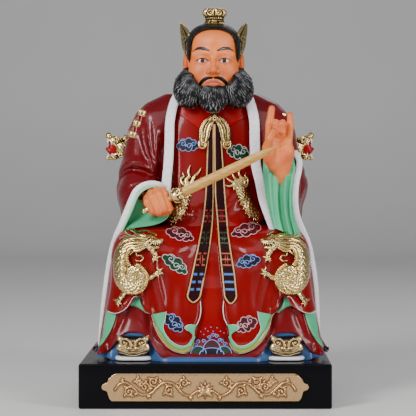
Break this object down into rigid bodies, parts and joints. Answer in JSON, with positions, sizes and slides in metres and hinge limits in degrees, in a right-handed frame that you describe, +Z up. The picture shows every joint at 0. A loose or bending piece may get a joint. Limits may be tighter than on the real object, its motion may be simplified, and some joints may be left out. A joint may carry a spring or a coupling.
{
  "type": "resin taoist deity statue",
  "caption": "Seated bearded deity in layered robes with relief dragons, holding a wooden sword and raising one hand, on a throne and a plinth.",
  "frame": {"origin": "middle of the plinth's underside", "axes": "+Z up, the figure faces -Y, +X is the viewer's right"},
  "size_m": [0.26, 0.2048, 0.4212],
  "materials": {
    "plinth_black": "black lacquer, high gloss",
    "plaque_gold": "champagne gold paint over cast relief, satin",
    "robe_red": "bright red enamel on cast resin, gloss",
    "sleeve_maroon": "deep maroon enamel on cast resin, gloss",
    "trim_white": "white textured paint, satin",
    "lining_green": "mint green enamel, soft gloss",
    "lining_blue": "sky blue enamel, soft gloss",
    "skin": "painted skin, satin",
    "hair_black": "black paint over scored locks, satin",
    "ribbon_brown": "dark brown paint with gold edges, satin",
    "bright_gold": "bright gold leaf look over cast relief, polished",
    "boot_black": "black enamel, gloss",
    "sword_wood": "pale peach wood, satin",
    "throne_red": "red enamel with gold painted relief, gloss"
  },
  "bodies": {
    "root": {"plinth": "plinth_black", "plinth_plaque": "plaque_gold", "figure": "robe_red", "throne": "throne_red", "sword": "sword_wood", "crown": "bright_gold", "crown_wing_left": "bright_gold", "crown_wing_right": "bright_gold"}
  },
  "joints": []
}
